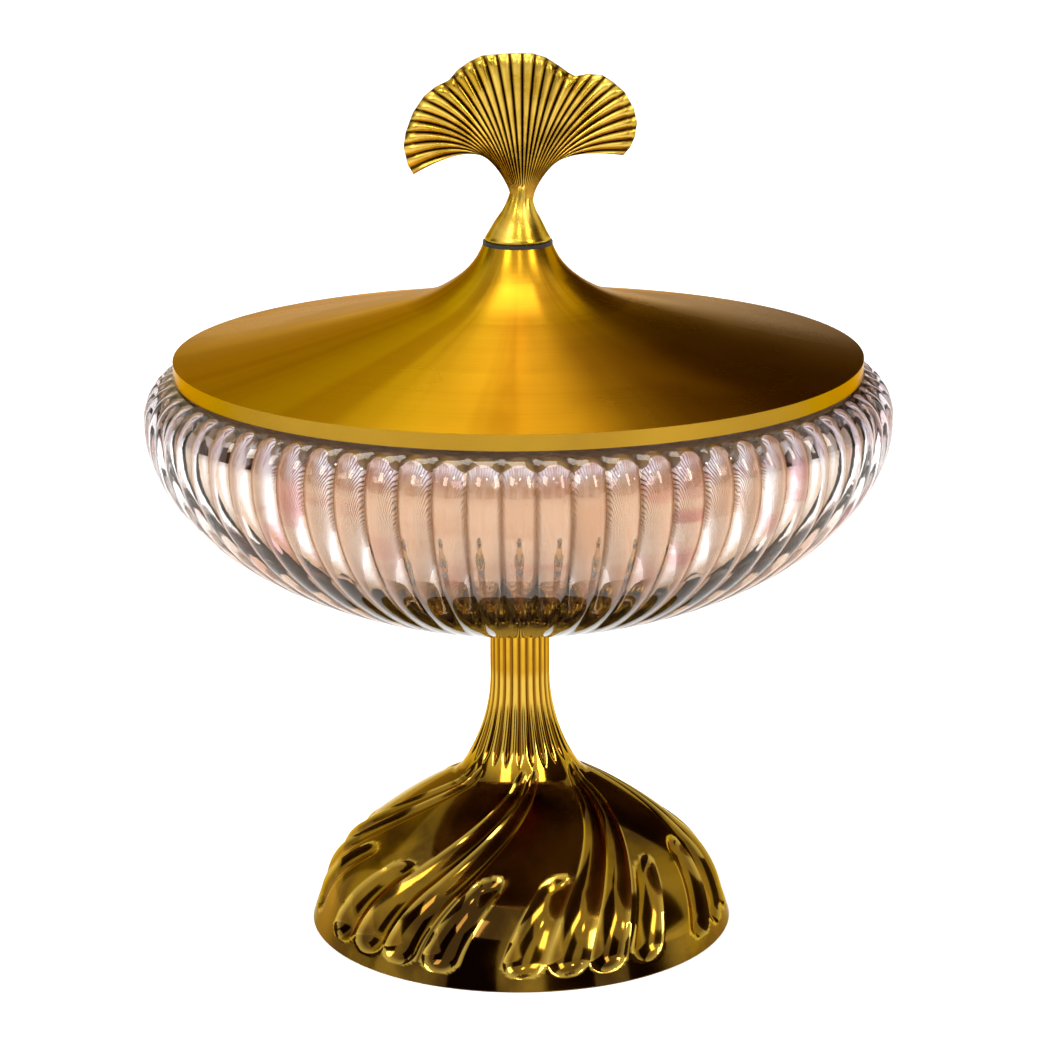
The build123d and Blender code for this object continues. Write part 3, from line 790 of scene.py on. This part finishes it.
def leaf_mesh():
    """The pleated leaf: a front, a back and the narrow edge that joins them."""
    columns = PLEAT_COUNT * PLEAT_COLUMNS + 1
    walked = along(LEAF_EDGE)
    points, depth = [], []
    for face in (-1, 1):
        for row in range(LEAF_ROWS):
            v = row / (LEAF_ROWS - 1)
            round_off = 1 - max(0.0, (v - 0.94) / 0.06)**2 * 0.55
            for c in range(columns):
                u = c / (columns - 1)
                x, z = leaf_place(u, v, walked)
                t = across(u * PLEAT_COUNT)
                pleat = min(PLEAT_HEIGHT, 3.2 * v) * (1 - t * t) if 0 < c < columns - 1 else 0.0
                lean = sum(back * math.exp(-((u - place) / width)**2) for place, width, back in LEAF_FOLDS)
                points.append((x, face * (leaf_thickness(u, v) + pleat) * round_off + lean * v * v, z))
                depth.append(min(1.0, t * t * min(1.0, 4.0 * v)))
    half = LEAF_ROWS * columns
    front = grid_faces(LEAF_ROWS, columns, closed_columns=False)
    back = [tuple(half + i for i in reversed(face)) for face in front]
    edge = [row * columns for row in range(LEAF_ROWS)]
    edge += [(LEAF_ROWS - 1) * columns + c for c in range(1, columns)]
    edge += [row * columns + columns - 1 for row in range(LEAF_ROWS - 2, -1, -1)]
    sides = [(a, b, half + b, half + a) for a, b in zip(edge, edge[1:])]
    return points, depth, front + back + sides


def pleated_knob(material):
    """Cast knob: round base, fluted neck, and a ginkgo leaf whose pleats fan out of the neck."""
    points, depth, faces = leaf_mesh()
    start = len(points)
    for reach, height in NECK_SIDE:
        drift = NECK_DRIFT * max(0.0, (height - NECK_DRIFT_START) / NECK_DRIFT_LENGTH)**1.6
        above = max(0.0, height - NECK_FLUTE_START)
        for c in range(NECK_COLUMNS):
            turn = 2 * math.pi * c / NECK_COLUMNS
            wave = math.cos(NECK_FLUTES * turn)
            r = reach - NECK_FLUTE_DEPTH * (1 + wave) * above / 8.0
            points.append((drift + r * math.cos(turn), r * math.sin(turn), height))
            depth.append(0.4 * max(0.0, wave) * min(1.0, above / 6.0))
    neck = grid_faces(len(NECK_SIDE), NECK_COLUMNS)
    faces += [tuple(start + i for i in face) for face in neck]
    shown_piece("ginkgo_knob_pleated", points, faces, material, "lid", "knob_brass", "ginkgo_knob", 60.0,
                depth=depth)


# CAD pieces that keep their shape

def dress(material, *names):
    """Gives CAD pieces their finish."""
    for name in names:
        piece = nodes[name]
        for place in piece.material_slots:
            place.material = material
        if not piece.material_slots:
            piece.data.materials.append(material)


bpy.context.scene.view_settings.view_transform = "Standard"
set_camera()
set_studio()
ribbed_bowl(bowl_glass())
swirled_pedestal(pedestal_gold())
pleated_knob(knob_brass())
dress(lid_gold(), "lid_shell")
dress(plated("ring_gold", (0.46, 0.28, 0.03, 1.0), (0.70, 0.46, 0.07, 1.0), 0.28, 2400.0), "locating_ring")
dress(plated("fastener_brass", (0.55, 0.38, 0.09, 1.0), (0.74, 0.54, 0.17, 1.0), 0.22, 3000.0),
      "bowl_cap_nut")
dress(plated("fastener_steel", (0.40, 0.40, 0.41, 1.0), (0.60, 0.60, 0.61, 1.0), 0.30, 3000.0),
      "tie_rod", "foot_washer", "foot_nut", "lock_washer", "knob_screw")
dress(soft_part("gasket_silicone", (0.62, 0.62, 0.60, 1.0), (0.74, 0.74, 0.72, 1.0), 0.45, 700.0, 0.08),
      "stem_gasket", "floor_gasket", "lid_seal")
dress(soft_part("washer_black", (0.008, 0.008, 0.008, 1.0), (0.03, 0.028, 0.026, 1.0), 0.55, 1100.0, 0.2),
      "knob_washer")
dress(soft_part("pad_felt", (0.030, 0.028, 0.026, 1.0), (0.12, 0.11, 0.10, 1.0), 0.85, 2600.0, 0.9),
      "foot_pad")
